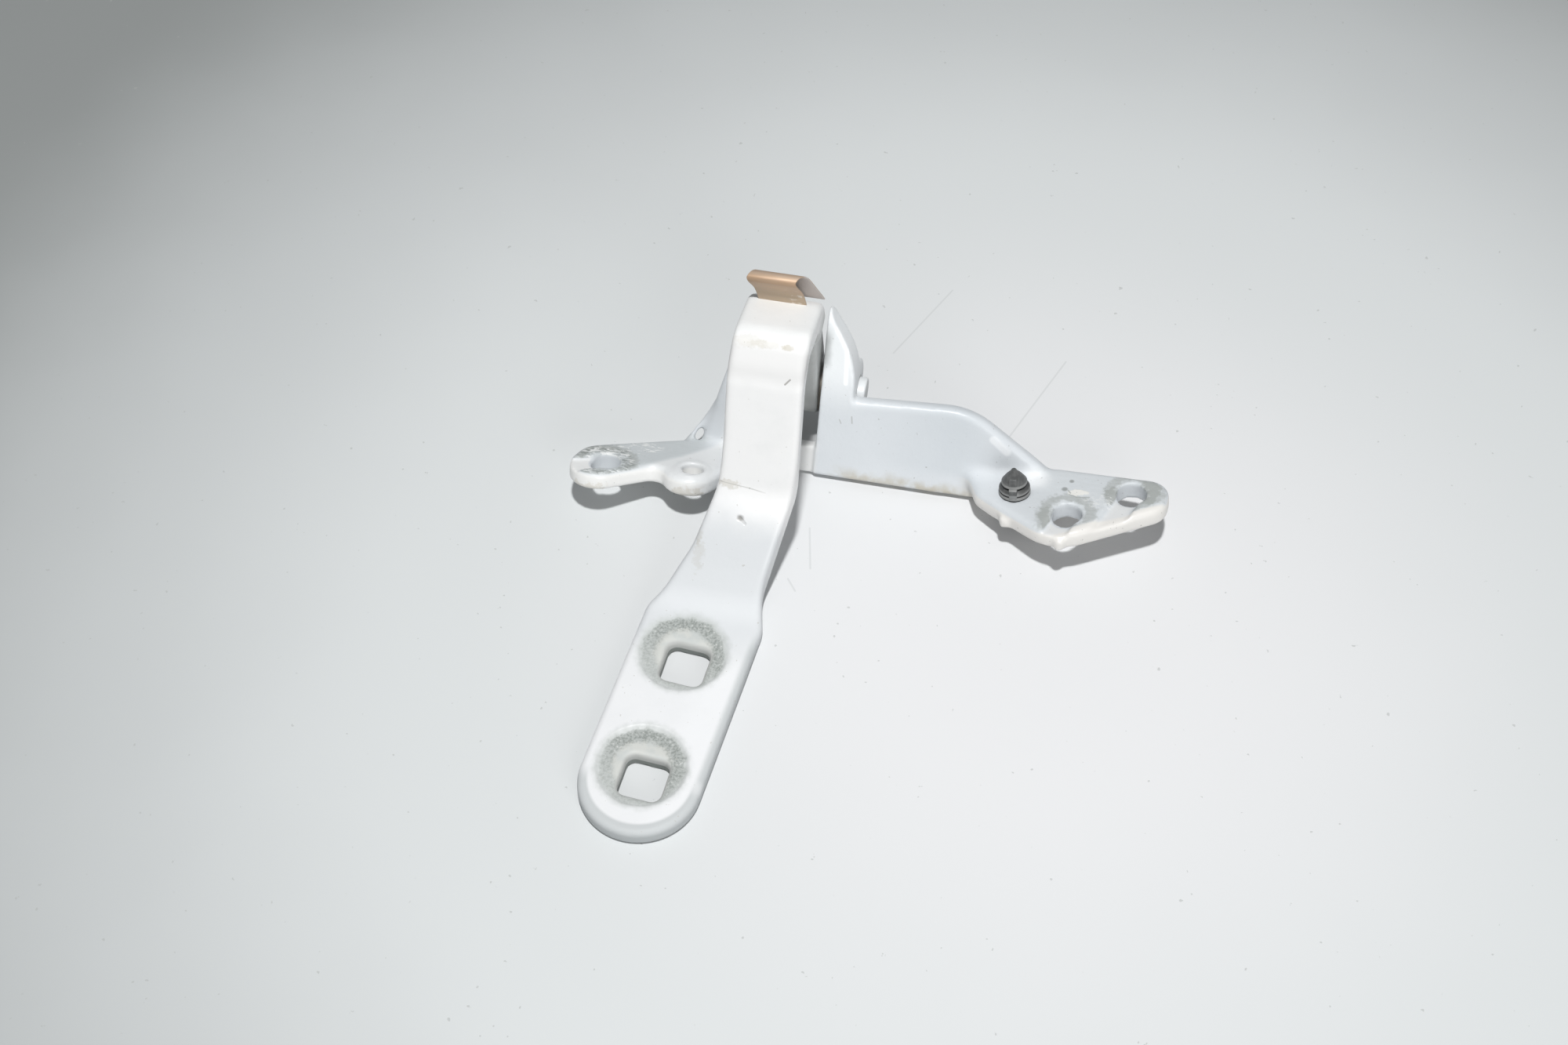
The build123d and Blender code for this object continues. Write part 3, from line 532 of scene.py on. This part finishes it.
# dirt, rust, cracks and the small dimple below the bend
dirt = sum(paint.blot(*mark) for mark in armLook["smears"]) * 0.2 + paint.blot(*armLook["stain"]) * 0.5
paint.coat(dirt + paint.blot(*armLook["footDirt"]) * 0.35, tints["dirt"])
paint.coat(sum(paint.blot(*mark) for mark in armLook["rust"]) * 0.24, tints["rust"])
cracks = paint.stroke(*armLook["nick"]) + sum(paint.stroke(*mark) for mark in armLook["cracks"]) * 0.5
paint.coat(cracks * 0.7, tints["crack"])
dimple = paint.spot(*armLook["dimple"]) + paint.stroke(*armLook["dimpleTail"]) * 0.4
paint.coat(dimple * 0.55, tints["crack"])
paint.coat(paint.over(paint.noise(1.3, 2), 0.73, 0.76) * 0.4, tints["speck"])
roughness = armLook["roughness"] + halo * 0.25 + (valley + bend + edge) * 0.3
normal = paint.bump(paint.noise(4.0, 3, 0.5), 0.08)
normal = paint.bump(grains * rings, 0.12, normal)
normal = paint.bump(1.0 - dimple, 0.35, normal)
forgingPaint = paint.end(Roughness=roughness, Normal=normal, Specular_IOR_Level=0.5)
forging = fitted("armForging", "gooseneck_arm", armLook)
dress(forging, forgingPaint)
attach(forging, "arm_body")
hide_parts("gooseneck_arm")
print("arm made", len(forging.data.polygons))

# pin, ring and bushes keep their CAD shapes
steelLook = {"plating": (0.50, 0.53, 0.54), "platingTwo": (0.62, 0.64, 0.655), "groove": (0.30, 0.31, 0.31),
             "head": (0.74, 0.76, 0.77), "metal": 0.3, "roughness": 0.40}
bronzeLook = {"oiled": (0.09, 0.085, 0.075), "worn": (0.17, 0.15, 0.125), "metal": 0.6, "roughness": 0.5}
paint = Finish("platedSteel", -lean)
turned = paint.noise(1.2, 3, 0.6, (6, 1, 1))
paint.colour = paint.mix(paint.noise(3.0, 4), steelLook["plating"], steelLook["platingTwo"])
paint.coat(paint.band(paint.fromAxis((0, 0, 0), (1, 0, 0)), (4.3, 4.6), (4.9, 5.1)) * 0.35, steelLook["groove"])
head = paint.over(paint.axes()[0], 17.5, 18.5)
paint.coat(head * 0.85, steelLook["head"])
platedSteel = paint.end(Metallic=(1.0 - head) * steelLook["metal"],
                        Roughness=steelLook["roughness"] + (turned - 0.5) * 0.2, Normal=paint.bump(turned, 0.02))
paint = Finish("bushBronze")
paint.colour = paint.mix(paint.noise(1.5, 4), bronzeLook["oiled"], bronzeLook["worn"])
bushBronze = paint.end(Metallic=bronzeLook["metal"], Roughness=bronzeLook["roughness"],
                       Normal=paint.bump(paint.noise(0.6, 3), 0.02))
for name, material in (("pivot_pin", platedSteel), ("retaining_ring", platedSteel),
                       ("bush_left", bushBronze), ("bush_right", bushBronze)):
    dress(frame["nodes"][name], material)
print("pin and bushes dressed")

# spring strip, folded over and curled between its two feet
clipLook = {"profile": ((-11.55, 49.5), (-11.4, 52.6), (-11.7, 55.6), (-12.9, 58.4), (-13.2, 60.4), (-12.4, 61.2),
                        (-10.6, 61.4), (-9.2, 60.4), (-8.1, 58.4), (-7.3, 55.8), (-6.5, 52.8), (-5.6, 49.8),
                        (-4.9, 47.2)),
            "left": -8.4, "foot": (-11.6, 50.56), "width": 14.4, "slant": (0.55, -0.22), "gauge": 0.45, "edge": 0.12,
            "outside": (0.49, 0.355, 0.245), "lit": (0.47, 0.36, 0.275), "dull": (0.40, 0.325, 0.24),
            "inside": (0.55, 0.50, 0.47), "fold": (0.42, 0.275, 0.17), "glint": (0.70, 0.66, 0.60), "roughness": 0.52}
points = []
for point in smoothLine(clipLook["profile"], 6):
    behind, above = point.y - clipLook["foot"][0], point.z - clipLook["foot"][1]
    left = clipLook["left"] + clipLook["slant"][0] * behind + clipLook["slant"][1] * above
    points.append(pivot + Vector((left, point.y, point.z)) * mm)
form = bmesh.new()
made = bmesh.ops.extrude_edge_only(form, edges=edgeChain(form, points))["geom"]
moved = [part for part in made if isinstance(part, bmesh.types.BMVert)]
bmesh.ops.translate(form, verts=moved, vec=(clipLook["width"] * mm, 0, 0))
bmesh.ops.recalc_face_normals(form, faces=form.faces)
if sum((face.normal.z for face in form.faces), 0.0) < 0:
    bmesh.ops.reverse_faces(form, faces=form.faces)
clip = pieceFrom("springClip", form)
wall = clip.modifiers.new("gauge", "SOLIDIFY")
wall.thickness = clipLook["gauge"] * mm
wall.offset = -1
soft = clip.modifiers.new("softEdges", "BEVEL")
soft.width = clipLook["edge"] * mm
soft.segments = 2
settle(clip)
paint = Finish("springStrip")
sideways, depthways, upwards = paint.axes()
streak = paint.noise(1.6, 4, 0.6, (0.25, 1.5, 1.5))
# streaks of painted sheen along the strip
paint.colour = paint.mix(paint.over(streak, 0.35, 0.7), clipLook["outside"], clipLook["lit"])
lower = paint.under(upwards + (paint.noise(3.5, 4, 0.6) - 0.5) * 4.0, 53.0, 57.5)
paint.coat(lower * 0.75, clipLook["dull"])
inner = paint.under(paint.fromPlane((0, -8.1, 58.4), (0, 0.96, 0.28)), -0.34, -0.16)
paint.coat(inner * paint.over(depthways, -10.2, -9.2), clipLook["inside"])
paint.coat(paint.spot((0, -13.1, 60.3), 1.3, 0.6, (0, 1, 1)) * 0.6, clipLook["fold"])
glints = paint.over(paint.noise(1.3, 4, 0.6, (0.5, 1.5, 1.0)), 0.56, 0.66)
paint.coat(glints * paint.blot((4.0, -11.6, 53.4), 4.5, 0.5, (0.6, 1, 1)) * 0.6, clipLook["glint"])
springStrip = paint.end(Metallic=0.3, Roughness=clipLook["roughness"] + (streak - 0.5) * 0.2,
                        Normal=paint.bump(streak, 0.02))
dress(clip, springStrip)
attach(clip, "arm_body")
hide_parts("spring_clip")
print("clip made")

# push plug: lips, waist and arrow head turned round its own axis, with a raised tongue up the front
plugLook = {"centre": (-16.7, 8.5), "pitch": 12.5, "roll": -7.7,
            "outline": ((0.0, -7.9), (5.6, -7.9), (6.0, -7.5), (6.0, -6.1), (3.0, -6.1), (3.0, 0.15), (4.6, 0.15),
                        (4.85, 0.4), (4.85, 0.95), (4.3, 1.25), (4.25, 1.7), (4.75, 2.0), (4.75, 2.35), (4.2, 2.9),
                        (3.1, 3.3), (3.0, 3.9), (3.6, 4.0), (3.95, 4.25), (3.95, 4.65), (2.6, 6.6), (1.1, 8.3),
                        (0.9, 8.8), (0.7, 9.1), (0.3, 9.2), (0.0, 9.2)),
            "tongueWidth": 2.5, "tongueDepth": 2.4, "tongue": ((0.3, 4.4, 4.75), (4.4, 7.6, 3.55)), "edge": 0.35,
            "dark": (0.085, 0.088, 0.088), "dusty": (0.145, 0.147, 0.146), "edgeHighlight": (0.34, 0.345, 0.34),
            "groove": (0.035, 0.036, 0.036), "roughness": 0.42}
form = bmesh.new()
rail = edgeChain(form, [(reach, 0, height) for reach, height in plugLook["outline"]])
bmesh.ops.spin(form, geom=form.verts[:] + rail, cent=(0, 0, 0), axis=upright, dvec=(0, 0, 0), angle=math.tau,
               steps=40, use_merge=True)
bmesh.ops.remove_doubles(form, verts=form.verts, dist=1e-4)
bmesh.ops.recalc_face_normals(form, faces=form.faces)
for low, high, front in plugLook["tongue"]:
    made = bmesh.ops.create_cube(form, size=1.0)["verts"]
    bmesh.ops.scale(form, verts=made, vec=(plugLook["tongueWidth"], plugLook["tongueDepth"], high - low))
    bmesh.ops.translate(form, verts=made, vec=(0, plugLook["tongueDepth"] / 2 - front, (low + high) / 2))
    edges = list(dict.fromkeys(edge for vertex in made for edge in vertex.link_edges))
    bmesh.ops.bevel(form, geom=edges, offset=plugLook["edge"], segments=3, profile=0.5, affect="EDGES", material=-1)
seat = Matrix.Translation(flangeHoles[0]) @ Matrix.Rotation(math.radians(plugLook["pitch"]), 4, "X")
seat = seat @ Matrix.Rotation(math.radians(plugLook["roll"]), 4, "Y") @ Matrix.Translation((*plugLook["centre"], 0))
place = Matrix.Translation(pivot) @ Matrix.Scale(mm, 4) @ Matrix.Rotation(-lean, 4, "X") @ seat
bmesh.ops.transform(form, matrix=place, verts=form.verts)
plug = pieceFrom("pushPlug", form)
for polygon in plug.data.polygons:
    polygon.use_smooth = True
plug.data.set_sharp_from_angle(angle=math.radians(38))
paint = Finish("blackNylon", -lean)
dust = paint.over(paint.noise(1.4, 4, 0.6), 0.40, 0.75)
reach = paint.fromAxis(tuple(seat.translation), flangeAxis)
height = paint.fromPlane(flangeHoles[0], flangeAxis)
# painted highlights on the edges of the lips and the head, and painted shade on the waist below the head
lips = paint.over(reach, 4.45, 4.7) * paint.under(height, 2.3, 2.6)
lips = lips + paint.over(reach, 3.6, 3.85) * paint.over(height, 3.9, 4.1)
paint.colour = paint.mix(dust * 0.8, plugLook["dark"], plugLook["dusty"])
paint.coat(lips * 0.55, plugLook["edgeHighlight"])
paint.coat(paint.under(reach, 4.3, 4.5) * paint.under(height, 3.9, 4.2) * 0.6, plugLook["groove"])
blackNylon = paint.end(Roughness=plugLook["roughness"] + dust * 0.2, Normal=paint.bump(paint.noise(0.7, 3), 0.03))
dress(plug, blackNylon)
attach(plug, "bracket_body")
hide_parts("push_plug")
print("plug made")
